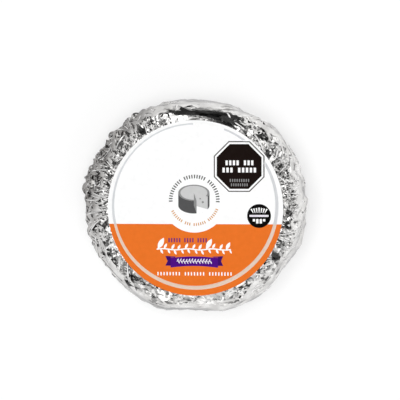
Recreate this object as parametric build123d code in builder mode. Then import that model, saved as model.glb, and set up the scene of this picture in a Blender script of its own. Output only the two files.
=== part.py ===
"""A foil-wrapped wheel of camembert with a round paper label and an eight-sided sticker.

Millimetres, +Z up. The origin is the middle of the flat base, on the wheel's axis.
The wheel lies on its base with the label on top. +Y points to the top of the label's print.
"""

import math
import os
import random

from build123d import *

# The wrapped wheel.
wheel_radius = 54.95  # axis to the bulge of the side, away from the pressed flats
wheel_height = 31.0  # base to the flat top face
face_radius = 41.4  # flat top face, where the rounded shoulder begins
shoulder_drop = 12.0  # top face down to the widest part of the side
heel_height = 12.0  # base up to where the heel's curve meets the upright side
heel_inset = 7.5  # how far the heel's curve comes in from the side to the base

# Where the soft wheel was pressed flat, or bulges where the depth is below zero:
# (direction in degrees, half width in degrees, depth).
pressed_flats = [
    (15, 50, 0.7),
    (60, 9, 1.1),
    (84, 50, 3.2),
    (116, 22, 1.0),
    (175, 38, -1.1),
    (182, 11, 0.7),
    (228, 26, 0.7),
    (269, 22, 2.8),
    (323, 19, 1.5),
]

# The crumpled foil, as flat facets between scattered folds.
facet_columns = 120
shoulder_rows = 10
side_rows = 2
heel_rows = 7
crumple_height = 0.55  # most that a fold stands out of the wheel's smooth form
crumple_hollow = 0.75  # most that a fold sinks into it
facet_scatter = 0.3  # how far a facet's corner wanders, as a share of the facet
crumple_seed = 11

# The round paper label.
label_radius = 43.2
label_thickness = 0.2
label_offset = (0.45, -1.1)  # it was stuck on a little off the wheel's axis
ridge_width = 1.9  # low ridge in the paper, just inside the edge of the flat top face
ridge_height = 0.3

# The eight-sided sticker on the label.
sticker_across = 25.9  # between opposite sides
sticker_thickness = 0.12
sticker_offset = (22.05, 19.4)  # its middle from the wheel's axis
section_excess = 0.5  # paper that is revolved past the label's edge and then trimmed to its outline

# The furthest point of the label's edge from the wheel's axis.
label_reach = label_radius + math.hypot(*label_offset)


def pressed_radius(angle):
    """The widest radius in one direction, less what the pressed flats take off it."""
    radius = wheel_radius
    for direction, half_width, depth in pressed_flats:
        away = (math.degrees(angle) - direction + 180) % 360 - 180
        if abs(away) < half_width:
            radius -= depth * math.cos(math.pi / 2 * away / half_width) ** 2
    return radius


def label_edge(angle):
    """How far the label reaches from the wheel's axis in one direction."""
    along = label_offset[0] * math.cos(angle) + label_offset[1] * math.sin(angle)
    across = label_offset[1] * math.cos(angle) - label_offset[0] * math.sin(angle)
    return along + math.sqrt(label_radius**2 - across**2)


def section_rows():
    """Stations down the section: the curve, then degrees along it or a share of its height."""
    rows = [("shoulder", 90 - 90 * i / shoulder_rows) for i in range(shoulder_rows + 1)]
    rows += [("side", i / side_rows) for i in range(1, side_rows)]
    rows += [("heel", -90 * i / heel_rows) for i in range(heel_rows + 1)]
    return rows


def section_point(angle, curve, along):
    """Radius, height and outward direction (radial, upward) at one station of the section."""
    widest = pressed_radius(angle)
    if curve == "side":
        top, bottom = wheel_height - shoulder_drop, heel_height
        return widest, top + (bottom - top) * along, 1.0, 0.0
    if curve == "shoulder":
        centre_radius, centre_height, rise = face_radius, wheel_height - shoulder_drop, shoulder_drop
    else:
        centre_radius, centre_height, rise = widest - heel_inset, heel_height, heel_height
    reach = widest - centre_radius
    turn = math.radians(along)
    out, up = math.cos(turn) / reach, math.sin(turn) / rise
    length = math.hypot(out, up)
    radius = centre_radius + reach * math.cos(turn)
    height = centre_height + rise * math.sin(turn)
    return radius, height, out / length, up / length


def foil_points():
    """Rows of facet corners from the edge of the top face down to the edge of the base."""
    chance = random.Random(crumple_seed)
    rows = section_rows()
    widest_facet = (wheel_radius - face_radius) * math.sin(math.radians(90 / shoulder_rows))
    grid = []
    for row, (curve, along) in enumerate(rows):
        fixed = row in (0, len(rows) - 1)
        ring = []
        for column in range(facet_columns):
            share = column + 0.5 * (row % 2)
            wander = 0 if fixed else chance.uniform(-facet_scatter, facet_scatter)
            angle = 2 * math.pi * (share + wander) / facet_columns
            radius, height, out, up = section_point(angle, curve, along)
            fold = chance.uniform(-crumple_hollow, crumple_height)
            if fixed:
                fold = 0
            elif curve == "shoulder" and radius < label_edge(angle) + widest_facet:
                fold = min(fold, 0)  # so that no facet stands up under the label
            radius += fold * out
            height = max(height + fold * up, 0)
            ring.append(Vector(radius * math.cos(angle), radius * math.sin(angle), height))
        grid.append(ring)
    return grid


def facet(*corners):
    """One flat face through the given corners."""
    return Face(Wire.make_polygon(corners, close=True))


def foil_facets():
    """The top face, the base and a triangle for each facet between them."""
    grid = foil_points()
    facets = [facet(*grid[0]), facet(*reversed(grid[-1]))]
    for row in range(len(grid) - 1):
        upper, lower = grid[row], grid[row + 1]
        lead = row % 2
        for column in range(facet_columns):
            after = (column + 1) % facet_columns
            if lead:
                facets.append(facet(upper[column], lower[column], lower[after]))
                facets.append(facet(upper[column], lower[after], upper[after]))
            else:
                facets.append(facet(upper[column], lower[column], upper[after]))
                facets.append(facet(upper[after], lower[column], lower[after]))
    return facets


def paper_line(lift):
    """Half of the paper's section, on the top face, over the ridge and down the shoulder."""
    level = wheel_height + lift
    ridge_start = face_radius - ridge_width
    ridge_top = (face_radius - ridge_width / 2, level + ridge_height)
    Line((0, level), (ridge_start, level))
    ThreePointArc((ridge_start, level), ridge_top, (face_radius, level))
    reach = wheel_radius - face_radius
    edge = label_reach + section_excess
    foot = math.degrees(math.acos((edge - face_radius) / reach))
    curve = EllipticalCenterArc(
        (face_radius, level - shoulder_drop), reach, shoulder_drop, start_angle=foot, arc_size=90 - foot
    )
    return (0, level), curve @ 0


def paper_section(underside, thickness):
    """The closed section of one sheet of paper, for revolving about the wheel's axis."""
    with BuildSketch(Plane.XZ) as section:
        with BuildLine():
            low_middle, low_edge = paper_line(underside)
            high_middle, high_edge = paper_line(underside + thickness)
            Line(low_middle, high_middle)
            Line(low_edge, high_edge)
        make_face()
    return section.sketch


with BuildPart() as foil_wrap:
    add(Solid(Shell(foil_facets())), clean=False)

with BuildPart() as label:
    revolve(paper_section(0, label_thickness), axis=Axis.Z)
    with BuildSketch(Plane.XY):
        with Locations(label_offset):
            Circle(label_radius)
    extrude(amount=2 * wheel_height, mode=Mode.INTERSECT)

with BuildPart() as sticker:
    revolve(paper_section(label_thickness, sticker_thickness), axis=Axis.Z)
    with BuildSketch(Plane.XY):
        with Locations(sticker_offset):
            RegularPolygon(sticker_across / 2, 8, major_radius=False, rotation=180 / 8)
    extrude(amount=2 * wheel_height, mode=Mode.INTERSECT)

os.makedirs("parts", exist_ok=True)
for name, piece in {"foil_wrap": foil_wrap, "label": label, "octagon_sticker": sticker}.items():
    piece.part.label = name
    export_step(piece.part, f"parts/{name}.step")
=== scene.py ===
"""Looks of the foil-wrapped camembert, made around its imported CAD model.

The frame is the CAD's: the origin is the middle of the flat base, +Z is up and +Y points to the
top of the label's print. The pieces' lengths are written in millimetres and become metres in
add_piece(). Directions are in degrees, anticlockwise from +X.
"""

import math

import bpy
import numpy as np
from mathutils import Matrix, Vector
from mathutils.bvhtree import BVHTree
from mathutils.geometry import delaunay_2d_cdt
from mathutils.kdtree import KDTree


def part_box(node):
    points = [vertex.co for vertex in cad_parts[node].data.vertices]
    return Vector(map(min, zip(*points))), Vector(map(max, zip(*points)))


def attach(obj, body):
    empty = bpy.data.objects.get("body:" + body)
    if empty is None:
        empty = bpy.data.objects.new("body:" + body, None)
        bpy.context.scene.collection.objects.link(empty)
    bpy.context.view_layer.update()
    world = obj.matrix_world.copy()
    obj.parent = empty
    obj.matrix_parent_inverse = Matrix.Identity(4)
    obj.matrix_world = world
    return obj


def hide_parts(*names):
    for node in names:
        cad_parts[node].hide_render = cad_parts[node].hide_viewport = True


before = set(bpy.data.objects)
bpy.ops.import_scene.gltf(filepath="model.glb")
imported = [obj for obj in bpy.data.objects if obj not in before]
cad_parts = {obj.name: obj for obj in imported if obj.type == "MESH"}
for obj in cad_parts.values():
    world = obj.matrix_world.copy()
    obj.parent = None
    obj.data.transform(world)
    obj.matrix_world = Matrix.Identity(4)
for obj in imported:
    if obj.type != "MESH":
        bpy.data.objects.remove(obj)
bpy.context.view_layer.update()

MM = 0.001
full_turn = 2 * math.pi

# The wheel's section, as in the CAD.
wheel_radius = 54.95
wheel_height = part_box("foil_wrap")[1].z / MM
face_radius = 41.4
shoulder_drop = 12.0
heel_height = 12.0
heel_inset = 7.5
# Where the soft wheel was pressed flat, or bulges where the depth is below zero:
# (direction in degrees, half width in degrees, depth).
pressed_flats = [
    (15, 50, 0.7),
    (60, 9, 1.1),
    (84, 50, 3.2),
    (116, 22, 1.0),
    (175, 38, -1.1),
    (182, 11, 0.7),
    (228, 26, 0.7),
    (269, 22, 2.8),
    (323, 19, 1.5),
]

# The label and the sticker, as in the CAD.
label_radius = 43.2
label_thickness = 0.2
label_offset = (0.45, -1.1)
ridge_width = 1.9
ridge_height = 0.3
sticker_across = 25.9
sticker_thickness = 0.12
sticker_offset = (22.05, 19.4)

# The foil sheet. It starts under the label and runs down the side to the edge of the base.
sheet_start_radius = 39.0
foil_seed = 7
# Each kind of crease: (spacing, shortest, longest, gap kept clear around it).
long_kind = (6.0, 6.0, 15.0, 1.6)
short_kind = (1.9, 2.2, 7.5, 1.0)
fine_kind = (1.6, 1.5, 4.0, 0.9)
point_spacing = 1.0  # between the points along a crease
crinkle_spacing = 1.0  # between the scattered points of the finest crinkles
crinkle_height = 0.03
long_depth = 1.1  # how far the long creases stand out or in
short_depth = 1.0  # and the short ones among them
full_height_length = 5.0  # a crease this long or longer stands out fully
crease_bend = 0.05  # how far a crease strays from a straight line, for its length
heading_scatter = 0.28  # in radians
edge_margin = 0.7  # creases stay this far from the sheet's two edges
ridge_chance = 0.75  # how many creases have a sharp ridge, where the foil is fully crumpled
long_ridge_share = 0.8  # and among the long creases, against the others
sharp_height = 0.3  # how far a sharp ridge stands up
sharp_half = 0.4  # half the width of such a ridge
shaded_hollow_chance = 0.4  # how many of the other creases get painted shade along their hollow
painted_light_low_fade = 0.85  # how much the painted highlights and shade of the creases fade below the shoulder
under_label_gap = 0.04  # the foil stays this far below the label
label_margin = 0.5  # and below it out to this far past its edge
edge_slope = 1.5  # how steeply it may rise beyond that

# How closely the foil is crumpled round the wheel, and how deep: the average, and what the
# stretches round a direction add to it (direction, half width, change).
crowding_changes = [(150, 70, 0.4), (12, 50, 0.25), (84, 30, -0.45), (252, 70, -0.4), (318, 40, -0.25)]
crowding_parts = (1.0, crowding_changes)
crumple_parts = (0.8, [(150, 75, 0.2), (15, 50, 0.1), (82, 32, -0.5), (262, 70, -0.4)])
# Where the foil is smooth by the label, folded deeper low down, most finely creased, rounded
# off least, and most darkened by painted shade round the outside: (direction, half width).
smooth_stretch = (82, 36)
smooth_share = 0.85  # how much of the depth is gone there
deeper_stretch = (165, 85)
deeper_share = 0.8  # how much is added to it there
fine_stretch = (165, 95)
straight_stretch = (165, 80)
rim_shade_stretch = (155, 70)
# Where creases run round the wheel instead of down it: (direction, half width, how fully).
round_stretches = [(275, 100, 1.0), (84, 45, 0.8)]
pleat_count = 46
pleat_height = 0.9

# The stretches of the section: the rim of the face, the shoulder, the side and the heel.
rim_run = face_radius - sheet_start_radius
shoulder_run = math.pi / 2 * math.hypot(wheel_radius - face_radius, shoulder_drop) / math.sqrt(2)
side_run = wheel_height - shoulder_drop - heel_height
heel_run = math.pi / 2 * math.hypot(heel_inset, heel_height) / math.sqrt(2)
sheet_run = rim_run + shoulder_run + side_run + heel_run
sheet_round = full_turn * 50.0  # the sheet's length round the wheel, at the middle of the shoulder


# ---------------------------------------------------------------- the wheel's smooth form


def polar(radius, angle):
    """Points at distances and angles from a middle."""
    return np.stack([radius * np.cos(angle), radius * np.sin(angle)], 1)


def to_polar(points):
    """Distances of points from the wheel's axis, and their angles round it."""
    return np.hypot(points[:, 0], points[:, 1]), np.arctan2(points[:, 1], points[:, 0])


def towards(angle, middle, half_width):
    """1 in a direction, falling smoothly to 0 at half_width degrees from it."""
    away = (np.degrees(angle) - middle + 180) % 360 - 180
    return np.cos(math.pi / 2 * np.clip(away / half_width, -1, 1)) ** 2


def varied(angle, parts):
    """A measure that varies round the wheel: its average and what each stretch adds to it."""
    average, changes = parts
    return average + sum(change * towards(angle, *stretch) for *stretch, change in changes)


def pressed_radius(angle):
    """The wheel's widest radius in each direction."""
    return wheel_radius - sum(depth * towards(angle, *flat) for *flat, depth in pressed_flats)


def chamfer(angle):
    """How straight the shoulder runs: 1 in directions where it is round, more where straighter."""
    return 1 + 0.6 * towards(angle, *straight_stretch)


def outward(along):
    """0 on the inner third of the shoulder, rising to 1 on its outer quarter and all below."""
    return np.clip((along - rim_run - 0.35 * shoulder_run) / (0.4 * shoulder_run), 0, 1)


def wheel_surface(angle, along):
    """Places on the smooth wheel and the directions out of it, at distances along its section."""
    widest = pressed_radius(angle)
    reach = widest - face_radius
    bend = chamfer(angle)
    past_rim = along - rim_run
    past_shoulder = past_rim - shoulder_run
    past_side = past_shoulder - side_run
    turn = math.pi / 2 * np.clip(1 - past_rim / shoulder_run, 1e-4, 1 - 1e-4)
    drop = math.pi / 2 * np.clip(past_side / heel_run, 0, 1)
    # Radius, height and outward direction on the rim, the shoulder, the side and the heel.
    shoulder_radius = face_radius + reach * np.cos(turn) ** bend
    shoulder_height = wheel_height - shoulder_drop * (1 - np.sin(turn) ** bend)
    shoulder_out = np.cos(turn) ** (2 - bend) / reach
    shoulder_up = np.sin(turn) ** (2 - bend) / shoulder_drop
    heel_radius = widest - heel_inset + heel_inset * np.cos(drop)
    measures = [
        (sheet_start_radius + along, shoulder_radius, widest, heel_radius),
        (wheel_height, shoulder_height, heel_height - past_side, heel_height * (1 - np.sin(drop))),
        (0, shoulder_out, 1, np.cos(drop) / heel_inset),
        (1, shoulder_up, 0, -np.sin(drop) / heel_height),
    ]
    stretches = [past_rim < 0, past_shoulder < 0, past_side < 0]
    radius, height, out, up = (np.select(stretches, row[:3], row[3]) for row in measures)
    size = np.hypot(out, up)
    place = np.column_stack([polar(radius, angle), height])
    normal = np.column_stack([polar(out / size, angle), up / size])
    return place, normal


def label_edge(angle):
    """How far the label reaches from the wheel's axis in each direction."""
    along = label_offset[0] * np.cos(angle) + label_offset[1] * np.sin(angle)
    across = label_offset[1] * np.cos(angle) - label_offset[0] * np.sin(angle)
    return along + np.sqrt(label_radius**2 - across**2)


def paper_underside(radius):
    """Height of the label's underside at a distance from the axis."""
    ridge_share = np.clip((radius - face_radius + ridge_width) / ridge_width, 0, 1)
    ridge = ridge_height * np.sin(math.pi * ridge_share)
    over = np.clip((radius - face_radius) / (wheel_radius - face_radius), 0, 0.99)
    return wheel_height + ridge - shoulder_drop * (1 - np.sqrt(1 - over**2))


# ---------------------------------------------------------------- crumpling


class Sheet:
    """A sheet laid out flat, with the place in space of each of its points.

    flat holds each point's place on the sheet, and folds the pairs of points that an edge has
    to join. A sheet with a wrap joins up with itself after that distance along its first axis,
    and only such a sheet can have folds.
    """

    def __init__(self, flat, place, wrap=0.0, folds=()):
        self.flat = flat
        self.place = place
        self.wrap = wrap
        self.triangulate(folds)

    def triangulate(self, folds):
        """Joins the points by triangles, past both ends of the wrap too."""
        margin = 3 * long_kind[0]
        owner = np.arange(len(self.flat))
        copies = [owner]
        spots = [self.flat]
        if self.wrap:
            low = owner[self.flat[:, 0] < margin]
            high = owner[self.flat[:, 0] > self.wrap - margin]
            copies += [low, high]
            spots += [self.flat[low] + (self.wrap, 0), self.flat[high] - (self.wrap, 0)]
        owners = np.concatenate(copies)
        spots = np.concatenate(spots)
        edges = self.repeated(folds, copies) if len(folds) else []
        result = delaunay_2d_cdt([Vector(spot) for spot in spots], edges, [], 0, 1e-7, True)
        source = np.array([origin[0] if origin else -1 for origin in result[3]])
        faces = source[np.array([face for face in result[2] if len(face) == 3])]
        faces = faces[(faces >= 0).all(1)]
        self.corners = spots[faces]
        self.faces = owners[faces]
        middle = self.corners[:, :, 0].mean(1)
        self.kept = (middle >= 0) & (middle < self.wrap) if self.wrap else np.ones(len(faces), bool)

    def repeated(self, folds, copies):
        """The folds between the nearest copies of their points: the points themselves, those
        near the start again past the end, and those near the end again before the start."""
        where = np.full((3, len(self.flat)), -1)
        total = 0
        for row, members in enumerate(copies):
            where[row, members] = np.arange(len(members)) + total
            total += len(members)
        shift = (0, self.wrap, -self.wrap)
        first, last = folds.T
        step = self.flat[last, 0] - self.flat[first, 0]
        found = []
        for a, b in ((0, 0), (1, 1), (2, 2), (1, 0), (0, 2), (0, 1), (2, 0)):
            near = np.abs(step + shift[b] - shift[a]) < self.wrap / 2
            found.append(np.stack([where[a, first[near]], where[b, last[near]]], 1))
        found = np.concatenate(found)
        return found[(found >= 0).all(1)].tolist()

    def edges(self):
        """Each edge once: its two points, and where they are on the sheet."""
        pairs = sides_of(self.faces[self.kept])
        ends = sides_of(self.corners[self.kept])
        ordered = np.sort(pairs, 1)
        first = np.unique(ordered[:, 0] * len(self.flat) + ordered[:, 1], return_index=True)[1]
        return pairs[first], ends[first]

    def locate(self, flat):
        """The places in space of points on the sheet."""
        points = np.zeros((len(self.corners) * 3, 3))
        points[:, :2] = self.corners.reshape(-1, 2)
        triangles = np.arange(len(points)).reshape(-1, 3)
        tree = BVHTree.FromPolygons([Vector(p) for p in points], triangles.tolist())
        down = Vector((0, 0, -1))
        hits = [tree.ray_cast(Vector((x, y, 1)), down)[2] for x, y in flat]
        found = np.array([hit is not None for hit in hits])
        face = np.array([hit for hit in hits if hit is not None], int)
        a, b, c = (self.corners[face, i] for i in range(3))
        p = flat[found]
        area = np.cross(b - a, c - a)
        share_b = np.cross(p - a, c - a) / area
        share_c = np.cross(b - a, p - a) / area
        shares = np.stack([1 - share_b - share_c, share_b, share_c], 1)
        return found, (self.place[self.faces[face]] * shares[:, :, None]).sum(1)


def sides_of(triangles):
    """The sides of triangles, each from one corner to the next."""
    return np.concatenate([triangles[:, [0, 1]], triangles[:, [1, 2]], triangles[:, [2, 0]]])


def far_from(points, others, gap):
    """The points that are further than a gap from all the others."""
    tree = KDTree(len(others))
    for index, (x, y) in enumerate(others):
        tree.insert((x, y, 0), index)
    tree.balance()
    return points[np.array([tree.find((x, y, 0))[2] > gap for x, y in points])]


def refine(sheet, spacing, candidates, push, chance):
    """A finer sheet: points along each fold of the last one and scattered between its folds.

    push(flat) gives each new point's offset in space.
    """
    pairs, ends = sheet.edges()
    length = np.linalg.norm(ends[:, 1] - ends[:, 0], axis=1)
    parts = np.maximum(1, np.round(length / spacing).astype(int))
    line_flat, line_place = [], []
    for count in range(2, parts.max() + 1):
        chosen = parts == count
        for step in range(1, count):
            share = (step + chance.uniform(-0.25, 0.25, chosen.sum())) / count
            share = share[:, None]
            line_flat.append(ends[chosen, 0] * (1 - share) + ends[chosen, 1] * share)
            start, end = sheet.place[pairs[chosen, 0]], sheet.place[pairs[chosen, 1]]
            line_place.append(start * (1 - share) + end * share)
    line_flat = np.concatenate(line_flat)
    line_place = np.concatenate(line_place)
    candidates = far_from(candidates, line_flat, 0.45 * spacing)
    found, surface = sheet.locate(candidates)
    candidates = candidates[found]
    line_place = line_place + push(line_flat)
    return Sheet(
        np.concatenate([sheet.flat, line_flat, candidates]),
        np.concatenate([sheet.place, line_place, surface + push(candidates)]),
    )


# ---------------------------------------------------------------- the foil's side


def crumple(angle, along):
    """How deep the foil's folds are at each place."""
    low = outward(along)
    smooth = smooth_share * towards(angle, *smooth_stretch) * (1 - low)
    deeper = deeper_share * towards(angle, *deeper_stretch) * low
    return varied(angle, crumple_parts) * (1 - smooth) * (1 + deeper)


def crowded_angles(shares):
    """Angles for even shares of a turn, closer together where the folds are closer."""
    angles = np.linspace(0, full_turn, 721)
    gathered = np.cumsum(varied(angles, crowding_parts))
    gathered = (gathered - gathered[0]) / (gathered[-1] - gathered[0])
    return np.interp(shares % 1, gathered, angles)


def lattice(spacing, scatter, chance):
    """Uneven points over the whole side sheet, with even ones along its two edges."""
    columns = round(sheet_round / spacing)
    rows = round(sheet_run / (spacing * 0.87))
    points = []
    for row in range(rows + 1):
        at_edge = row in (0, rows)
        wander = np.zeros(columns) if at_edge else chance.uniform(-scatter, scatter, columns)
        lift = np.zeros(columns) if at_edge else chance.uniform(-scatter, scatter, columns)
        share = (np.arange(columns) + 0.5 * (row % 2) + wander) / columns % 1
        along = (row + lift) / rows * sheet_run
        points.append(np.stack([share * sheet_round, along], 1))
    return np.concatenate(points)


def spread(flat):
    """Angle round the wheel and distance down its section of points on the sheet."""
    return crowded_angles(flat[:, 0] / sheet_round), flat[:, 1]


def crease_heading(flat):
    """The way creases run in each patch of the sheet, in radians from the way round the wheel."""
    angle = spread(flat)[0]
    turn = flat[:, 0] / sheet_round * full_turn
    down = flat[:, 1]
    around = np.max([share * towards(angle, *stretch) for *stretch, share in round_stretches], 0)
    wander = np.sin(17 * turn + 0.3 * down) + np.sin(2.6 - 26 * turn + 0.16 * down)
    wander += 0.6 * np.sin(9 * turn - 0.5 * down)
    down_the_wheel = math.pi / 2 * (1 - around) * (1 - 0.75 * outward(down))
    return down_the_wheel + 0.75 * wander * (1 - 0.75 * around)


def is_clear(start, end, placed, gap):
    """Whether a straight crease neither crosses nor comes near any of those placed already."""
    middle = (start + end) / 2
    shift = placed[:, 0] - middle[0]
    shift = shift - sheet_round * np.round(shift / sheet_round)
    first = np.stack([middle[0] + shift, placed[:, 1]], 1)
    last = first + placed[:, 2:]
    near = np.abs(shift) < 25
    first, last = first[near], last[near]
    own, other = end - start, last - first

    def side(origin, way, point):
        to = point - origin
        return way[..., 0] * to[..., 1] - way[..., 1] * to[..., 0]

    def apart(origin, way, point):
        share = np.clip(((point - origin) * way).sum(-1) / (way * way).sum(-1), 0, 1)
        return np.linalg.norm(point - origin - share[..., None] * way, axis=-1)

    crossed = (side(start, own, first) * side(start, own, last) < 0) & (
        side(first, other, start) * side(first, other, end) < 0
    )
    if crossed.any():
        return False
    distances = [
        apart(first, other, start),
        apart(first, other, end),
        apart(start, own, first),
        apart(start, own, last),
    ]
    return np.min(distances) > gap if len(first) else True


def lay_creases(placed, kind, chance):
    """Lays more straight creases over the sheet, clear of those placed: rows of start and reach."""
    spacing, shortest, longest, gap = kind
    middles = lattice(spacing, 0.45, chance)
    middles = middles[chance.permutation(len(middles))]
    heading = crease_heading(middles) + chance.normal(0, heading_scatter, len(middles))
    half = np.sort(chance.uniform(shortest / 2, longest / 2, len(middles)))[::-1]
    reach = polar(half, heading)
    count = len(placed)
    laid = np.concatenate([placed, np.zeros((len(middles), 4))])
    for middle, way in zip(middles, reach):
        start, end = middle - way, middle + way
        lowest, highest = sorted((start[1], end[1]))
        if lowest < edge_margin or highest > sheet_run - edge_margin:
            continue
        if is_clear(start, end, laid[:count], gap):
            laid[count] = (*start, *(end - start))
            count += 1
    return laid[:count]


def crease_points(creases, chance):
    """Points along creases on the sheet: places, heights from -1 to 1, the way across each
    crease, how far along it they are, and the pairs of points that it joins."""
    flat, height, across, shares, folds = [], [], [], [], []
    total = 0
    for crease in creases:
        start, way = crease[:2], crease[2:]
        length = np.hypot(*way)
        count = max(2, round(length / point_spacing)) + 1
        share = np.linspace(0, 1, count)
        top = chance.choice([-1, 1]) * chance.uniform(0.3, 1)
        top *= np.clip(length / full_height_length, 0.3, 1)
        bend = crease_bend * chance.uniform(-1, 1) * np.sin(math.pi * share)
        side = np.array([-way[1], way[0]])
        flat.append(start + share[:, None] * way + bend[:, None] * side)
        height.append(top * np.sin(math.pi * share) ** 0.6)
        across.append(np.tile(side / np.hypot(*side), (count, 1)))
        shares.append(share)
        index = np.arange(count) + total
        folds.append(np.stack([index[:-1], index[1:]], 1))
        total += count
    flat = np.concatenate(flat)
    flat[:, 0] %= sheet_round
    height, across, shares, folds = map(np.concatenate, (height, across, shares, folds))
    return flat, height, across, shares, folds


def depth_along(flat):
    """0 at the sheet's two edges, 1 over all the rest of it."""
    return np.clip(flat[:, 1] / 2.0, 0, 1) * np.clip((sheet_run - flat[:, 1]) / 3.0, 0, 1)


def pleats(angle, along, chance):
    """Gathers of the foil, which deepen down the side towards the base."""
    wander = chance.uniform(-0.3, 0.3, pleat_count)
    height = pleat_height * chance.uniform(0.4, 1.0, pleat_count)
    place = angle / full_turn * pleat_count + 0.25 * np.sin(along * 0.35 + angle * 5)
    index = np.floor(place).astype(int) % pleat_count
    share = place - np.floor(place) - 0.5 - wander[index] * 0.5
    wave = np.maximum(0, 1 - np.abs(share) / 0.4) * height[index]
    start = rim_run + 0.7 * shoulder_run
    return wave * np.clip((along - start) / (0.6 * heel_run), 0, 1)


def on_wheel(flat):
    """Rows for points on the smooth wheel: their place, and how far they are lifted off it."""
    return np.column_stack([wheel_surface(*spread(flat))[0], np.zeros(len(flat))])


def raised(flat, rows, amount):
    """Rows lifted off the wheel by an amount, less near the sheet's two edges."""
    normal = wheel_surface(*spread(flat))[1]
    amount = amount * depth_along(flat)
    return rows + np.column_stack([normal * amount[:, None], amount])


def taut(flat, rows):
    """Places from rows: in straight planes between creases where it is crumpled, else rounded."""
    angle, along = spread(flat)
    smooth, normal = wheel_surface(angle, along)
    rounded = smooth + normal * rows[:, 3:]
    flatness = np.clip((varied(angle, crumple_parts) - 0.3) / 0.35, 0, 1)[:, None]
    return rows[:, :3] * flatness + rounded * (1 - flatness)


def edge_rows(spacing):
    """Even points along the sheet's two edges."""
    share = np.linspace(0, sheet_round, round(sheet_round / spacing), endpoint=False)
    return np.concatenate([np.stack([share, np.full_like(share, end)], 1) for end in (0, sheet_run)])


def with_points(sheet, flat, place, folds):
    """The sheet with more points, and with more folds among them."""
    return Sheet(
        np.concatenate([sheet.flat, flat]), np.concatenate([sheet.place, place]), sheet.wrap, folds
    )


def with_ridges(sheet, lines, across, shares, chosen):
    """The sheet with a narrow sharp ridge along the chosen creases, whose points come first."""
    inner = np.flatnonzero(chosen & (shares > 0) & (shares < 1))
    sides, folds = [], [lines]
    for way in (-1, 1):
        side = sheet.flat[inner] + way * sharp_half * across[inner]
        side[:, 0] %= sheet.wrap
        sides.append(side)
    sides = np.concatenate(sides)
    found, surface = sheet.locate(sides)
    twin = np.full((2, len(sheet.flat)), -1)
    for row in (0, 1):
        twin[row, inner] = len(sheet.flat) + row * len(inner) + np.arange(len(inner))
        ends = twin[row][lines]
        ends = np.where(ends < 0, lines, ends)
        folds.append(ends[(ends != lines).any(1)])
    top = np.zeros(len(sheet.flat))
    depth = varied(spread(sheet.flat)[0], crumple_parts)
    top[inner] = sharp_height * np.sin(math.pi * shares[inner]) ** 0.4 * depth[inner]
    sheet.place = raised(sheet.flat, sheet.place, top)
    return sides, surface, np.concatenate(folds)


def lay_short_creases(long_creases, chance):
    """Short creases between the long ones, and finer ones where the foil is finely creased."""
    short = lay_creases(long_creases, short_kind, chance)
    fine = lay_creases(short, fine_kind, chance)[len(short) :]
    likely = 1.3 * towards(spread(fine[:, :2])[0], *fine_stretch)
    kept = chance.uniform(0, 1, len(fine)) < likely
    return np.concatenate([short[len(long_creases) :], fine[kept]])


def painted_crease_light(sheet, across, shares, owner, sharp, chance):
    """The painted light at each point of the creases: above 0 for a painted highlight on ridges, below
    0 for painted shade in hollows.
    """
    total = owner[-1] + 1
    # How dark the painted shade of each shaded hollow is, and how bright the painted highlight of each
    # ridge.
    hollow_shade = chance.uniform(0.3, 1, total) * (chance.uniform(0, 1, total) < shaded_hollow_chance)
    bright = chance.uniform(0.55, 1, total)
    painted_light = np.where(sharp, bright[owner], -hollow_shade[owner])
    painted_light *= np.sin(math.pi * shares) ** 0.7 * (across != 0).any(1)
    past_shoulder = sheet.flat[:, 1] - rim_run - 0.7 * shoulder_run
    return painted_light * (1 - painted_light_low_fade * np.clip(past_shoulder / (0.35 * shoulder_run), 0, 1))


def foil_side():
    """The crumpled sheet over the shoulder, the side and the heel, and the painted highlights and
    shade of its creases.
    """
    chance = np.random.default_rng(foil_seed)
    long_creases = lay_creases(np.zeros((0, 4)), long_kind, chance)
    flat, height, across, shares, lines = crease_points(long_creases, chance)
    angle, along = spread(flat)
    lift = height * long_depth * crumple(angle, along) + pleats(angle, along, chance)
    rows = raised(flat, on_wheel(flat), lift)
    edges = edge_rows(point_spacing)
    sheet = Sheet(
        np.concatenate([flat, edges]), np.concatenate([rows, on_wheel(edges)]), sheet_round, lines
    )

    creases = lay_short_creases(long_creases, chance)
    flat, height, more_across, more_shares, more_lines = crease_points(creases, chance)
    surface = sheet.locate(flat)[1]
    surface = raised(flat, surface, height * short_depth * crumple(*spread(flat)))
    lines = np.concatenate([lines, more_lines + len(sheet.flat)])
    across = np.concatenate([across, np.zeros((len(edges), 2)), more_across])
    shares = np.concatenate([shares, np.zeros(len(edges)), more_shares])
    sheet = with_points(sheet, flat, surface, lines)

    # Each crease's points follow its first one, whose share is 0. The edges' points count too.
    starts = np.flatnonzero(shares == 0)
    owner = np.cumsum(shares == 0) - 1
    likely = ridge_chance * crumple(*spread(sheet.flat[starts]))
    likely[: len(long_creases)] *= long_ridge_share
    sharp = (chance.uniform(0, 1, len(starts)) < likely)[owner]
    sides, surface, lines = with_ridges(sheet, lines, across, shares, sharp)
    painted_light = painted_crease_light(sheet, across, shares, owner, sharp, chance)

    scattered = lattice(crinkle_spacing, 0.42, chance)
    scattered = far_from(scattered, np.concatenate([sheet.flat, sides]), 0.55 * crinkle_spacing)
    found, between_place = sheet.locate(scattered)
    scattered = scattered[found]
    wobble = chance.uniform(-crinkle_height, crinkle_height, len(scattered))
    wobble *= varied(spread(scattered)[0], crumple_parts)
    between_place = raised(scattered, between_place, wobble)
    painted_light = np.concatenate([painted_light, np.zeros(len(sides) + len(scattered))])
    sheet = with_points(
        sheet, np.concatenate([sides, scattered]), np.concatenate([surface, between_place]), lines
    )
    sheet.place = taut(sheet.flat, sheet.place)
    return sheet, painted_light


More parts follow.
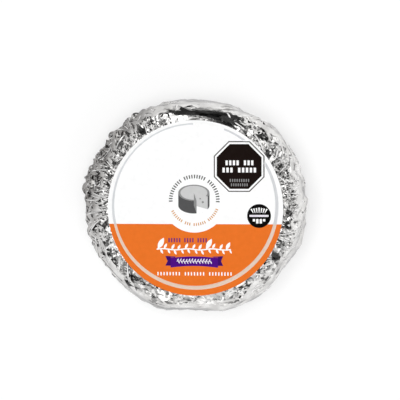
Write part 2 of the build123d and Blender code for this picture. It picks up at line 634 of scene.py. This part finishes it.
def settle(place):
    """Keeps the foil under the label and on the floor."""
    radius, angle = to_polar(place)
    beyond = np.maximum(0, radius - label_edge(angle) - label_margin)
    ceiling = paper_underside(radius) - under_label_gap + edge_slope * beyond
    height = np.maximum(np.minimum(place[:, 2], ceiling), 0)
    return np.column_stack([place[:, :2], height])


# ---------------------------------------------------------------- the foil's underside


gathers = 34


def foil_underside(ring):
    """The gathered foil under the wheel, inside the ring of places where its side ends."""
    chance = np.random.default_rng(foil_seed + 1)
    tilt = chance.uniform(-0.4, 0.4, gathers)
    flat, lift = [ring[:, :2]], [np.zeros(len(ring))]
    for share in (0.93, 0.8, 0.65, 0.5, 0.36, 0.22, 0.1):
        outer = share > 0.4
        count = gathers if outer else gathers // 2
        turn = (np.arange(count) + (tilt if outer else 0)) / count * full_turn
        turn = turn + 0.12 * (1 - share) + chance.uniform(-0.02, 0.02, count)
        radius = share * (pressed_radius(turn) - heel_inset) + chance.uniform(-1, 1, count)
        flat.append(polar(radius, turn))
        lift.append(chance.uniform(-0.35, 0.7, count) + 0.35 * (np.arange(count) % 2))
    flat = np.concatenate(flat)
    lift = np.maximum(0, np.concatenate(lift))
    sheet = Sheet(flat, np.column_stack([flat, lift]))

    def scattered(spacing):
        steps = int(wheel_radius / spacing) + 1
        x, y = np.meshgrid(np.arange(-steps, steps + 1), np.arange(-steps, steps + 1))
        points = np.stack([x.ravel() + 0.5 * (y.ravel() % 2), y.ravel() * 0.87], 1) * spacing
        points += chance.uniform(-0.4, 0.4, points.shape) * spacing
        radius, angle = to_polar(points)
        return points[radius < pressed_radius(angle) - heel_inset - 0.6 * spacing]

    def uneven(amount):
        def push(flat):
            radius, angle = to_polar(flat)
            from_edge = np.clip((pressed_radius(angle) - heel_inset - radius) / 1.5, 0, 1)
            up = chance.uniform(-amount, amount, len(flat)) * from_edge
            return np.column_stack([np.zeros_like(flat), up])

        return push

    for spacing, amount in ((2.6, 0.28), (1.1, 0.05)):
        sheet = refine(sheet, spacing, scattered(spacing), uneven(amount), chance)
    return sheet


# ---------------------------------------------------------------- print


def circle(x, y, radius, count=96):
    """A closed outline of that many points."""
    return polar(radius, np.arange(count) / count * full_turn) + (x, y)


def bar(left, right, bottom, top, rounding=0.0):
    """A bar, with rounded corners if a rounding is given."""
    if not rounding:
        return np.array([(left, bottom), (right, bottom), (right, top), (left, top)], float)
    corners = [(right, top), (left, top), (left, bottom), (right, bottom)]
    points = []
    for index, (x, y) in enumerate(corners):
        centre_x = x - rounding if x == right else x + rounding
        centre_y = y - rounding if y == top else y + rounding
        for step in range(5):
            turn = math.pi / 2 * (index + step / 4)
            points.append((centre_x + rounding * math.cos(turn), centre_y + rounding * math.sin(turn)))
    return np.array(points)


def arc_bar(x, y, inner, outer, start, end):
    """A bar bent round a middle, between two directions in degrees."""
    steps = max(2, int(abs(end - start) / 4) + 2)
    turns = np.radians(np.linspace(start, end, steps))
    return np.concatenate([polar(outer, turns), polar(inner, turns[::-1])]) + (x, y)


def octagon(x, y, across):
    """An octagon that stands on a side, with the distance across its sides."""
    reach = across / 2 / math.cos(math.pi / 8)
    return polar(reach, (np.arange(8) + 0.5) / 8 * full_turn) + (x, y)


def stroke(points, widths):
    """The outline of a brush stroke along points, with its width at each."""
    points = np.asarray(points, float)
    heading = np.gradient(points, axis=0)
    heading /= np.linalg.norm(heading, axis=1)[:, None]
    side = np.stack([-heading[:, 1], heading[:, 0]], 1) * (np.asarray(widths) / 2)[:, None]
    return np.concatenate([points + side, (points - side)[::-1]])


def dash_row(left, right, bottom, top, groups, share):
    """A row of equal upright dashes that fills a width, in groups with a gap between them.

    groups counts the dashes in each group, and share is how much of the row they cover.
    """
    pitch = (right - left) / (sum(groups) + len(groups) - 2 + share)
    dashes = []
    x = left
    for count in groups:
        for _ in range(count):
            dashes.append(bar(x, x + share * pitch, bottom, top, 0.15))
            x += pitch
        x += pitch
    return dashes


def leaf(foot, turn, length):
    """A pointed leaf that grows from its foot in a direction in degrees."""
    way = np.array([math.cos(math.radians(turn)), math.sin(math.radians(turn))])
    share = np.linspace(0.03, 0.97, 9)
    spine = np.asarray(foot) + share[:, None] * length * way
    return stroke(spine, 0.4 * length * np.sin(math.pi * share))


def vine(left, right, level, up, down, thickness):
    """A plain vine: a gently waved stem with leaves above it and below, whose lengths are given."""
    across = np.linspace(left, right, 61)
    wave = 0.1 * down[0] * np.sin((across - left) / (right - left) * 3 * full_turn)
    stem = np.stack([across, level + wave], 1)
    pieces = [stroke(stem[i : i + 3], [thickness] * 3) for i in range(0, 59, 2)]
    for lengths, turn, start in ((up, 62, 0.01), (down, -62, 0.05)):
        for index, length in enumerate(lengths):
            foot = stem[round((start + 0.93 * index / (len(lengths) - 1)) * 60)]
            pieces.append(leaf(foot, turn, length))
    return pieces


def inked(ink, outlines):
    """Fields of one colour."""
    return [(ink, outline) for outline in outlines]


badge_centre = (31.84, -4.86)
badge_radius = 5.85
emblem_centre = (0.0, 2.85)
emblem_radius = 16.0
orange_top = -8.94


def label_print():
    """The label's fields of colour, each over the ones before it: (material, outline).

    The ring is thin, with its inner circle a little off centre, and has a gap at the top.
    """
    outer, inner = circle(0.38, -0.33, 41.0, 180), circle(0.15, 0.25, 39.68, 180)
    reach = label_radius + 5
    fields = [
        ("orange", bar(-reach, reach, -reach - 2, orange_top)),
        ("ring", outer),
        ("ring_inside", inner),
        ("ring_inside", arc_bar(0.2, 0, 39.3, 41.6, 69, 91)),
        ("white", circle(*emblem_centre, emblem_radius)),
    ]
    return fields + emblem_print() + lower_print()


def emblem_print():
    """In the white circle: a plain cheese with a slice cut out, inside two arcs of dashes."""
    fields = []
    x, y = emblem_centre
    # Each arc: colour, inner and outer radius, first and last direction, step, places left bare.
    arcs = [
        ("ink", 10.7, 12.5, -5, 187, 6.2, 3.0, (10, 20)),
        ("tan", 11.3, 12.7, 206, 338, 5.2, 2.6, (7, 11, 18)),
    ]
    for ink, inner, outer, first, last, step, width, bare in arcs:
        turns = np.delete(np.arange(first, last, step), bare)
        fields += inked(ink, [arc_bar(x, y, inner, outer, turn, turn + width) for turn in turns])
    return fields + cheese_picture(x - 0.2, y + 3.6)


def cheese_picture(x, y):
    """A round cheese seen from the side and above with a slice cut out, drawn in greys."""
    wide, deep = 7.7, 4.0
    fall = np.array([0, -6.2])
    middle = np.array([x, y])

    def rim(start, end):
        turns = np.radians(np.linspace(start, end, max(2, abs(end - start) // 6)))
        return middle + polar(1, turns) * (wide, deep)

    def wall(outline):
        return np.concatenate([outline, outline[::-1] + fall])

    cut = (280, 332)
    near, far = rim(*cut)[0], rim(*cut)[-1]
    slice_gap = np.concatenate([[middle], rim(*cut), rim(*cut)[::-1] + fall])
    return [
        ("dark_grey", wall(rim(180, 360))),
        ("grey", rim(0, 354)),
        ("pale_grey", middle + (rim(0, 354) - middle) * 0.86),
        ("white", slice_gap),
        ("pale_grey", wall(np.array([middle, far]))),
        ("grey", wall(np.array([middle, near]))),
        ("grey", circle(x + 4.4, y - 4.6, 0.55, 12)),
        ("grey", circle(x + 3.1, y - 2.9, 0.4, 12)),
    ]


def lower_print():
    """On the orange: a dashed row, a leafy vine, a ribbon, another row, and the black badge."""
    up = (6.4, 3.0, 3.2, 2.9, 3.1, 2.9, 3.2, 6.0, 3.0, 3.1, 4.4)
    down = (2.8, 2.5, 2.7, 2.5, 2.6, 2.5, 2.7, 2.5, 2.6, 2.5, 2.2)
    fields = inked("plum", dash_row(-12.8, 6.2, -18.0, -15.8, (5, 4, 4), 0.55))
    fields += inked("white", vine(-18.6, 18.0, -21.4, up, down, 0.6))
    fields += ribbon()
    fields += inked("white", dash_row(-18.2, 18.4, -34.3, -32.6, (8, 7, 8), 0.4))
    return fields + badge()


def ribbon():
    """A ribbon with an arched front and two notched tails folded behind it."""
    fields = []
    for side in (-1, 1):
        tail = [(9.4, -24.9), (14.3, -24.7), (13.2, -27.2), (14.3, -29.5), (9.4, -29.5)]
        fold = [(8.6, -24.9), (11.7, -24.9), (11.7, -26.0)]
        fields.append(("dark_purple", np.array([(side * x, y) for x, y in tail])))
        fields.append(("plum", np.array([(side * x, y) for x, y in fold])))
    across = np.linspace(-11.7, 11.7, 25)
    arch = 0.85 * (1 - (across / 11.7) ** 2)
    top = np.stack([across, -25.75 + arch], 1)
    bottom = np.stack([across, -30.45 + arch], 1)
    fields.append(("purple", np.concatenate([bottom, top[::-1]])))
    return fields + inked("pale", vine(-8.7, 8.3, -27.3, (1.5,) * 12, (1.4,) * 12, 0.3))


def badge():
    """A black disc with a pale bar across it, a fan of short strokes above and bars below."""
    x, y = badge_centre
    fields = [("black", circle(x, y, badge_radius, 64))]
    fields.append(("pale", bar(x - 4.7, x + 4.7, y - 0.45, y + 0.55, 0.3)))
    for lean in (-3, -2, -1, 0, 1, 2, 3):
        foot = np.array([x + 0.95 * lean, y + 1.5])
        top = foot + (0.35 * lean, 2.6 - 0.22 * abs(lean))
        fields.append(("white", stroke([foot, top], (0.3, 0.75))))
    for place, length in ((-2.5, 1.2), (-0.85, 2.2), (0.85, 2.2), (2.5, 1.2)):
        fields.append(("white", bar(x + place - 0.6, x + place + 0.6, y - 1.5 - length, y - 1.5, 0.2)))
    return fields


def sticker_print():
    """The sticker's fields: dark line, white line, black middle and rows of pale bars."""
    x, y = sticker_offset
    fields = [
        ("ink", octagon(x, y, 24.9)),
        ("white", octagon(x, y, 23.8)),
        ("black_brown", octagon(x, y, 22.0)),
    ]
    rows = [
        (-6.7, 7.0, 0.6, 3.0, "white", (4, 3), 0.62),
        (-8.2, 8.3, -2.95, -0.55, "white", (3, 5), 0.62),
        (-4.6, 4.9, -7.6, -6.1, "grey", (9,), 0.5),
        (-4.0, 4.2, -9.7, -8.3, "grey", (8,), 0.5),
    ]
    for left, right, bottom, top, ink, groups, share in rows:
        dashes = dash_row(x + left, x + right, y + bottom, y + top, groups, share)
        fields += inked(ink, dashes)
    return fields


# ---------------------------------------------------------------- sheets of paper


def inside(outline, points):
    """Which points lie inside a closed outline."""
    low, high = outline.min(0), outline.max(0)
    near = np.all((points > low) & (points < high), 1)
    result = np.zeros(len(points), bool)
    p = points[near]
    crossed = np.zeros(len(p), bool)
    ends = np.roll(outline, -1, 0)
    for (x0, y0), (x1, y1) in zip(outline, ends):
        spans = (y0 > p[:, 1]) != (y1 > p[:, 1])
        if y0 != y1:
            crossed ^= spans & (p[:, 0] < (x1 - x0) * (p[:, 1] - y0) / (y1 - y0) + x0)
    result[near] = crossed
    return result


def paper_rise(points):
    """Height of the paper's underside, with the foil's folds showing through faintly."""
    x, y = points.T
    ripple = np.sin(x * 0.31 + 2 * np.sin(y * 0.17)) * np.sin(y * 0.27 + 1.5 * np.sin(x * 0.13))
    return paper_underside(np.hypot(x, y)) + 0.035 * (1 + ripple)


def paper(outline, fields, lift, thickness):
    """A printed white sheet cut to an outline: vertices, faces and the material of each face."""
    rings = paper_rings()
    outlines = [outline] + [field for _, field in fields]
    edges = []
    total = 0
    for closed in outlines:
        index = np.arange(len(closed)) + total
        edges.append(np.stack([index, np.roll(index, -1)], 1))
        total += len(closed)
    points = np.concatenate([*outlines, rings[inside(outline, rings)]])
    edges = np.concatenate(edges)
    result = delaunay_2d_cdt([Vector(p) for p in points], edges.tolist(), [], 0, 1e-5, False)
    flat = np.array([tuple(v) for v in result[0]])
    faces = np.array([face for face in result[2] if len(face) == 3])
    middle = flat[faces].mean(1)
    kept = inside(outline, middle)
    faces, middle = faces[kept], middle[kept]
    colour = np.full(len(faces), "white", object)
    for ink, field in fields:
        colour[inside(field, middle)] = ink
    used, faces = np.unique(faces, return_inverse=True)
    faces = faces.reshape(-1, 3)
    flat = flat[used]
    rise = paper_rise(flat) + lift
    count = len(flat)
    top, bottom = (np.column_stack([flat, rise + up]) for up in (thickness, 0))
    vertices = np.concatenate([top, bottom])
    known = set(map(tuple, sides_of(faces).tolist()))
    rim = sorted((a, b) for a, b in known if (b, a) not in known)
    sides = [(a, a + count, b + count, b) for a, b in rim]
    polygons = faces.tolist() + (faces[:, ::-1] + count).tolist() + sides
    names = colour.tolist() + ["cut_paper"] * (len(faces) + len(sides))
    return vertices, polygons, names


def paper_rings():
    """Points that carry the paper's form: close together over its ridge, further apart inside."""
    inner = [circle(0, 0, r, int(full_turn * r / 1.6) + 6) for r in np.arange(1.5, 39, 1.5)]
    outer = [circle(0, 0, r, 260) for r in np.arange(39.2, 45.0, 0.3)]
    return np.concatenate(inner + outer)


# ---------------------------------------------------------------- materials


def direction(azimuth, from_up):
    """A unit vector, from degrees round the wheel and degrees from straight up."""
    azimuth, from_up = math.radians(azimuth), math.radians(from_up)
    flat = math.sin(from_up)
    return (flat * math.cos(azimuth), flat * math.sin(azimuth), math.cos(from_up))


def connect(tree, node, inputs):
    """Links a node's inputs to sockets, or sets them to values."""
    for name, value in inputs.items():
        if isinstance(value, bpy.types.NodeSocket):
            tree.links.new(value, node.inputs[name])
        else:
            node.inputs[name].default_value = value


def add_node(tree, kind, inputs, **settings):
    """A new node with these settings and inputs."""
    node = tree.nodes.new(kind)
    for name, value in settings.items():
        setattr(node, name, value)
    connect(tree, node, inputs)
    return node


def new_material(name):
    """A material, its tree of nodes and its Principled shader."""
    material = bpy.data.materials.new(name)
    material.use_nodes = True
    tree = material.node_tree
    shader = next(node for node in tree.nodes if node.type == "BSDF_PRINCIPLED")
    return material, tree, shader


def noise(tree, coordinates, scale, detail):
    """A noise, mostly between 0.36 and 0.64."""
    inputs = {"Vector": coordinates, "Scale": scale, "Detail": detail}
    return add_node(tree, "ShaderNodeTexNoise", inputs).outputs["Fac"]


def mapped(tree, value, low, high, start=0.36, end=0.64, curve="LINEAR"):
    """A value that goes from low to high, as another one goes from start to end."""
    ends = {"From Min": start, "From Max": end, "To Min": low, "To Max": high}
    inputs = {"Value": value, **ends}
    node = add_node(tree, "ShaderNodeMapRange", inputs, interpolation_type=curve)
    return node.outputs["Result"]


def between(tree, value, first, second):
    """A colour between two others, by a noise."""
    ramp = add_node(tree, "ShaderNodeValToRGB", {"Fac": value})
    for stop, position, colour in zip(ramp.color_ramp.elements, (0.3, 0.7), (first, second)):
        stop.position = position
        stop.color = (*colour, 1)
    return ramp.outputs["Color"]


def blended(tree, share, first, second, kind="RGBA"):
    """Goes from the first colour or number to the second, by a share."""
    inputs = {"Factor": share, "A": first, "B": second}
    return add_node(tree, "ShaderNodeMix", inputs, data_type=kind).outputs["Result"]


def maths(tree, operation, first, second):
    """The result of an operation on two values."""
    node = add_node(tree, "ShaderNodeMath", {0: first, 1: second}, operation=operation)
    return node.outputs["Value"]


def stored(tree, name):
    """A value that the mesh stores for each of its points."""
    return add_node(tree, "ShaderNodeAttribute", {}, attribute_name=name).outputs["Fac"]


def bump(tree, height, strength, distance):
    """The direction of a surface with fine relief."""
    inputs = {"Height": height, "Strength": strength, "Distance": distance}
    return add_node(tree, "ShaderNodeBump", inputs).outputs["Normal"]


def foil_material():
    """Bright aluminium foil: uneven polish, a fine rolled grain, painted shade round the outside, and
    painted highlights and shade along the creases.

    A ridge with a painted highlight is part white scatter and part metal, so that it shows bright from
    every side.
    """
    material, tree, shader = new_material("foil")
    place = tree.nodes.new("ShaderNodeTexCoord").outputs["Object"]
    cloud = noise(tree, place, 160, 4)
    bright = between(tree, cloud, (0.68, 0.67, 0.657), (0.93, 0.922, 0.91))
    # Painted shade: the foil turns to this darker tone round the outside of the wheel, most at the
    # left.
    rim_shade_tone = between(tree, cloud, (0.2, 0.192, 0.185), (0.45, 0.44, 0.43))
    tone = blended(tree, stored(tree, "painted_rim_shade"), bright, rim_shade_tone)
    # Painted light of the creases: painted shade darkens the hollows towards near black, and a painted
    # highlight turns the ridges towards white and less metal.
    painted_light = stored(tree, "painted_crease_light")
    for end, colour in ((-1, (0.13, 0.125, 0.12, 1)), (0.5, (0.9, 0.895, 0.89, 1))):
        tone = blended(tree, mapped(tree, painted_light, 0, 1, 0, end), tone, colour)
    looks = {
        "Base Color": tone,
        "Roughness": mapped(tree, cloud, 0.05, 0.12),
        "Metallic": mapped(tree, painted_light, 1, 0.2, 0, 0.5),
        "Specular Tint": (0.55, 0.55, 0.56, 1),
        "Normal": bump(tree, noise(tree, place, 900, 3), 0.06, 0.00025),
    }
    connect(tree, shader, looks)
    return material


def ink_material(name, colour):
    """Coated paper printed one colour, with a little mottle and a faint paper grain."""
    material, tree, shader = new_material(name)
    place = tree.nodes.new("ShaderNodeTexCoord").outputs["Object"]
    mottle = noise(tree, place, 420, 3)
    darker = tuple(channel * 0.97 for channel in colour)
    lighter = tuple(min(1, channel * 1.02 + 0.001) for channel in colour)
    looks = {
        "Base Color": between(tree, mottle, darker, lighter),
        "Roughness": mapped(tree, mottle, 0.34, 0.43),
        "Specular IOR Level": 0.03,
        "Normal": bump(tree, noise(tree, place, 2600, 2), 0.12, 0.00004),
    }
    connect(tree, shader, looks)
    return material


inks = {
    "white": (0.9, 0.9, 0.9),
    "orange": (0.74, 0.158, 0.019),
    "pale": (0.75, 0.72, 0.78),
    "ring_white": (0.6, 0.61, 0.63),
    "ring_orange": (0.7, 0.55, 0.45),
    "ink": (0.085, 0.083, 0.08),
    "dark_grey": (0.08, 0.08, 0.082),
    "grey": (0.24, 0.24, 0.24),
    "pale_grey": (0.55, 0.55, 0.55),
    "tan": (0.58, 0.3, 0.1),
    "plum": (0.19, 0.03, 0.13),
    "purple": (0.066, 0.004, 0.2),
    "dark_purple": (0.042, 0.003, 0.12),
    "black": (0.0015, 0.0012, 0.001),
    "black_brown": (0.0085, 0.0045, 0.0034),
    "cut_paper": (0.85, 0.85, 0.83),
}
materials = {name: ink_material(name, colour) for name, colour in inks.items()}
materials["foil"] = foil_material()


# ---------------------------------------------------------------- pieces


def add_piece(name, vertices, polygons, names, node, slot):
    """A mesh in metres that stands for a CAD node, with a named material for each face."""
    used = sorted(set(names))
    mesh = bpy.data.meshes.new(name)
    mesh.from_pydata((np.asarray(vertices) * MM).tolist(), [], polygons)
    for material in used:
        mesh.materials.append(materials[material])
    order = {material: index for index, material in enumerate(used)}
    mesh.polygons.foreach_set("material_index", [order[n] for n in names])
    mesh.update()
    piece = bpy.data.objects.new(name, mesh)
    bpy.context.scene.collection.objects.link(piece)
    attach(piece, "root")
    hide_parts(node)
    return piece


def painted_rim_shade(place):
    """How much painted shade darkens the foil at each place: most in a crescent round the outside at
    the left, a little all round the outside.
    """
    radius, angle = to_polar(place)
    outside = np.clip((radius - 45.5) / 4.5, 0, 1)
    return outside * np.clip(1.4 * towards(angle, *rim_shade_stretch), 0.1, 1)


def facing_down(faces, corners):
    """Faces turned so that they run clockwise on the flat sheet."""
    turned = np.cross(corners[:, 1] - corners[:, 0], corners[:, 2] - corners[:, 0])
    return np.where(turned[:, None] > 0, faces[:, ::-1], faces)


def points_at(sheet, along):
    """The points at one edge of the side sheet, in order round the wheel."""
    found = np.flatnonzero(np.abs(sheet.flat[:, 1] - along) < 1e-6)
    return found[np.argsort(sheet.flat[found, 0])]


def add_foil():
    """The foil's side, closed by a flat face under the label and the gathers underneath."""
    side, painted_light = foil_side()
    place = settle(side.place)
    faces = facing_down(side.faces[side.kept], side.corners[side.kept])
    rim = points_at(side, 0)
    hem = points_at(side, sheet_run)
    under = foil_underside(place[hem])
    under_place = settle(under.place)
    renamed = np.concatenate([hem, np.arange(len(under_place) - len(hem)) + len(place)])
    under_faces = renamed[facing_down(under.faces, under.corners)]
    vertices = np.concatenate([place, under_place[len(hem) :]])
    polygons = faces.tolist() + under_faces.tolist() + [rim.tolist()]
    piece = add_piece(
        "crumpled_foil", vertices, polygons, ["foil"] * len(polygons), "foil_wrap", "foil"
    )
    painted_light = np.concatenate([painted_light, np.zeros(len(vertices) - len(painted_light))])
    # Each point carries its painted crease light and its painted rim shade.
    for name, values in (("painted_crease_light", painted_light), ("painted_rim_shade", painted_rim_shade(vertices))):
        layer = piece.data.attributes.new(name, "FLOAT", "POINT")
        layer.data.foreach_set("value", values)


def add_label():
    """The label, whose ring and its inside take their inks from the colour they lie on."""
    outline = circle(*label_offset, label_radius, 360)
    vertices, polygons, names = paper(outline, label_print(), 0.0, label_thickness)
    above = {"ring": "ring_white", "ring_inside": "white"}
    below = {"ring": "ring_orange", "ring_inside": "orange"}
    for index, ink in enumerate(names):
        if ink in above:
            low = vertices[polygons[index], 1].mean() < orange_top
            names[index] = below[ink] if low else above[ink]
    add_piece("printed_label", vertices, polygons, names, "label", "label_paper")


def add_sticker():
    """The sticker, on top of the label."""
    outline = octagon(*sticker_offset, sticker_across)
    sheet = paper(outline, sticker_print(), label_thickness, sticker_thickness)
    add_piece("eight_sided_sticker", *sheet, "octagon_sticker", "sticker_paper")


add_foil()
add_label()
add_sticker()


# ---------------------------------------------------------------- studio


floor_half = 3.0  # metres
floor_whitening = 0.5  # how much of the floor's tone is replaced by plain white where it is seen


def add_floor():
    """A plain white floor that keeps half of the wheel's soft shadow."""
    mesh = bpy.data.meshes.new("floor")
    corners = [(x, y, 0) for x, y in bar(-floor_half, floor_half, -floor_half, floor_half)]
    mesh.from_pydata(corners, [], [(0, 1, 2, 3)])
    floor = bpy.data.objects.new("floor", mesh)
    bpy.context.scene.collection.objects.link(floor)
    material, tree, shader = new_material("floor_white")
    looks = {"Base Color": (0.97, 0.97, 0.97, 1), "Roughness": 0.9, "Specular IOR Level": 0.0}
    connect(tree, shader, looks)
    rays = tree.nodes.new("ShaderNodeLightPath").outputs
    seen = maths(tree, "MAXIMUM", rays["Is Camera Ray"], rays["Is Glossy Ray"])
    seen = maths(tree, "MAXIMUM", seen, rays["Is Transmission Ray"])
    white = tree.nodes.new("ShaderNodeEmission").outputs["Emission"]
    share = maths(tree, "MULTIPLY", seen, floor_whitening)
    mix = add_node(tree, "ShaderNodeMixShader", {0: share, 1: shader.outputs["BSDF"], 2: white})
    connect(tree, tree.nodes["Material Output"], {"Surface": mix.outputs["Shader"]})
    mesh.materials.append(material)


# Brighter and darker parts of the studio, as the foil sees them: (azimuth, degrees from
# straight up, half width in degrees, softness in degrees, brightness).
studio_parts = [
    (165, 60, 45, 20, 1.0),
    (0, 0, 14, 8, 0.4),
    (81, 46, 34, 6, 0.03),
    (81, 14, 12, 5, 0.05),
    (140, 32, 20, 8, 1.35),
    (245, 52, 17, 8, 1.1),
    (205, 45, 14, 6, 0.25),
    (32, 48, 15, 8, 0.9),
    (160, 84, 30, 8, 0.1),
    (205, 84, 20, 8, 0.1),
    (335, 34, 15, 5, 0.06),
    (300, 30, 9, 4, 0.1),
    (20, 40, 9, 4, 0.08),
]
studio_light = 0.68  # brightness everywhere else
studio_unevenness = (0.02, 2.05)  # what its soft patches multiply the brightness by


def add_world():
    """An uneven studio all round, whose brighter and darker parts the foil mirrors."""
    world = bpy.data.worlds.new("studio")
    bpy.context.scene.world = world
    world.use_nodes = True
    tree = world.node_tree
    heading = tree.nodes.new("ShaderNodeTexCoord").outputs["Generated"]
    light = studio_light
    for azimuth, from_up, half, soft, brightness in studio_parts:
        inputs = {0: heading, 1: direction(azimuth, from_up)}
        aim = add_node(tree, "ShaderNodeVectorMath", inputs, operation="DOT_PRODUCT")
        outer = math.cos(math.radians(half + soft))
        inner = math.cos(math.radians(half - soft))
        edge = mapped(tree, aim.outputs["Value"], 0, 1, outer, inner, "SMOOTHSTEP")
        light = blended(tree, edge, light, brightness, "FLOAT")
    patches = mapped(tree, noise(tree, heading, 3.6, 2), *studio_unevenness)
    looks = {"Color": (1, 1, 1, 1), "Strength": maths(tree, "MULTIPLY", light, patches)}
    connect(tree, tree.nodes["Background"], looks)


def add_lamp(name, azimuth, from_up, distance, size, watts):
    """A soft round lamp that points at the origin, and that the foil doesn't mirror.

    Its distance and size are in metres.
    """
    lamp = bpy.data.lights.new(name, "AREA")
    lamp.shape = "DISK"
    lamp.size = size
    lamp.energy = watts
    holder = bpy.data.objects.new(name, lamp)
    holder.location = Vector(direction(azimuth, from_up)) * distance
    holder.rotation_euler = holder.location.to_track_quat("Z", "Y").to_euler()
    holder.visible_glossy = False
    bpy.context.scene.collection.objects.link(holder)


# The camera looks almost straight down, from a little to the right and above the label's top.
camera_azimuth = 32.0
camera_tilt = 4.56  # from straight up
camera_distance = 950.0
camera_target = (2.8, 2.9, wheel_height)
picture_width = 196.56  # how much the picture takes in across the label


def add_camera():
    """The camera, with the top of the label's print at the top of the picture."""
    data = bpy.data.cameras.new("camera")
    data.sensor_width = 36.0
    data.lens = data.sensor_width * camera_distance / picture_width
    data.clip_end = 20
    camera = bpy.data.objects.new("camera", data)
    back = Vector(direction(camera_azimuth, camera_tilt))
    right = Vector((0, 1, 0)).cross(back).normalized()
    up = back.cross(right)
    place = Vector(camera_target) * MM + back * camera_distance * MM
    turn = Matrix((right, up, back)).transposed().to_4x4()
    camera.matrix_world = Matrix.Translation(place) @ turn
    bpy.context.scene.collection.objects.link(camera)
    bpy.context.scene.camera = camera


add_floor()
add_world()
add_lamp("overhead", 0, 0, 1.5, 1.2, 12.6)
add_lamp("key", -50, 45, 1.2, 0.3, 0.6)
add_camera()
bpy.context.scene.view_settings.view_transform = "Standard"
